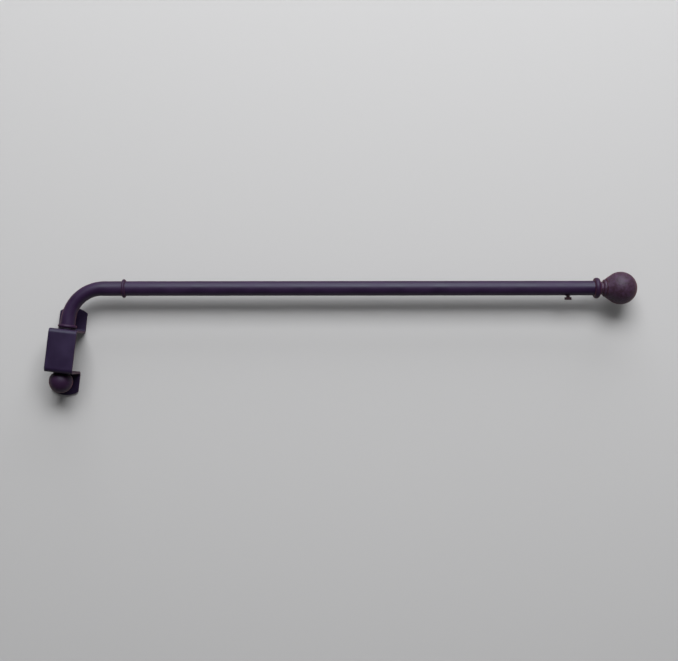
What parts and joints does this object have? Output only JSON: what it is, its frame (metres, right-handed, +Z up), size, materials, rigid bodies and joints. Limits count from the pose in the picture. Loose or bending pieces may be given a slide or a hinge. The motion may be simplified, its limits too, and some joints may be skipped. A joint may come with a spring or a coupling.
{
  "type": "swing arm curtain rod",
  "caption": "Dark bronze curtain rod on a wall bracket: an elbow swings on a pin, a plain straight rod ends in a beaded ball finial held by a thumbscrew.",
  "frame": {"origin": "on the wall, midway between the two wall screw holes of the bracket", "axes": "+X towards the finial as the rod lies along the wall, +Y into the wall, +Z up the bracket"},
  "size_m": [0.6252, 0.044, 0.2019],
  "materials": {
    "bracket_finish": "satin dark bronze paint, copper at worn cut edges",
    "tube_finish": "satin dark bronze paint",
    "collar_finish": "satin dark bronze paint with a copper tint at the edges",
    "knob_finish": "satin dark bronze paint",
    "bush": "matt near black",
    "plain_steel": "bare turned steel",
    "plug": "matt dark moulded plug",
    "finial_finish": "matt, finely textured dark bronze coating on moulded resin",
    "screw_finish": "blackened steel"
  },
  "bodies": {
    "bracket": {"wall_bracket": "bracket_finish", "top_bush": "bush", "bottom_bush": "bush"},
    "arm": {"elbow_tube": "tube_finish", "pivot_plug": "plain_steel", "pivot_pin": "plain_steel", "lower_collar": "collar_finish", "upper_collar": "collar_finish", "joint_dowel": "plain_steel", "rod_tube": "tube_finish", "screw_insert": "screw_finish", "knob_washer": "bush", "pivot_knob": "knob_finish"},
    "finial": {"finial_plug": "plug", "finial_stud": "plain_steel", "finial_ring": "collar_finish", "finial_ball": "finial_finish"},
    "locking_screw": {"thumbscrew": "screw_finish"}
  },
  "joints": [
    {"name": "arm_swing", "type": "hinge", "parent": "bracket", "child": "arm", "pos_m": [0, -0.024, 0], "axis": [0, 0, -1], "range_deg": [0, 180]},
    {"name": "finial_pull", "type": "slide", "parent": "arm", "child": "finial", "axis": [0.9936, 0, 0.1132], "range_m": [0, 0.04]},
    {"name": "thumbscrew_turn", "type": "hinge", "parent": "arm", "child": "locking_screw", "pos_m": [0.53545, -0.024, 0.12912], "axis": [0.1132, 0, -0.9936], "range_deg": [0, 990]}
  ]
}
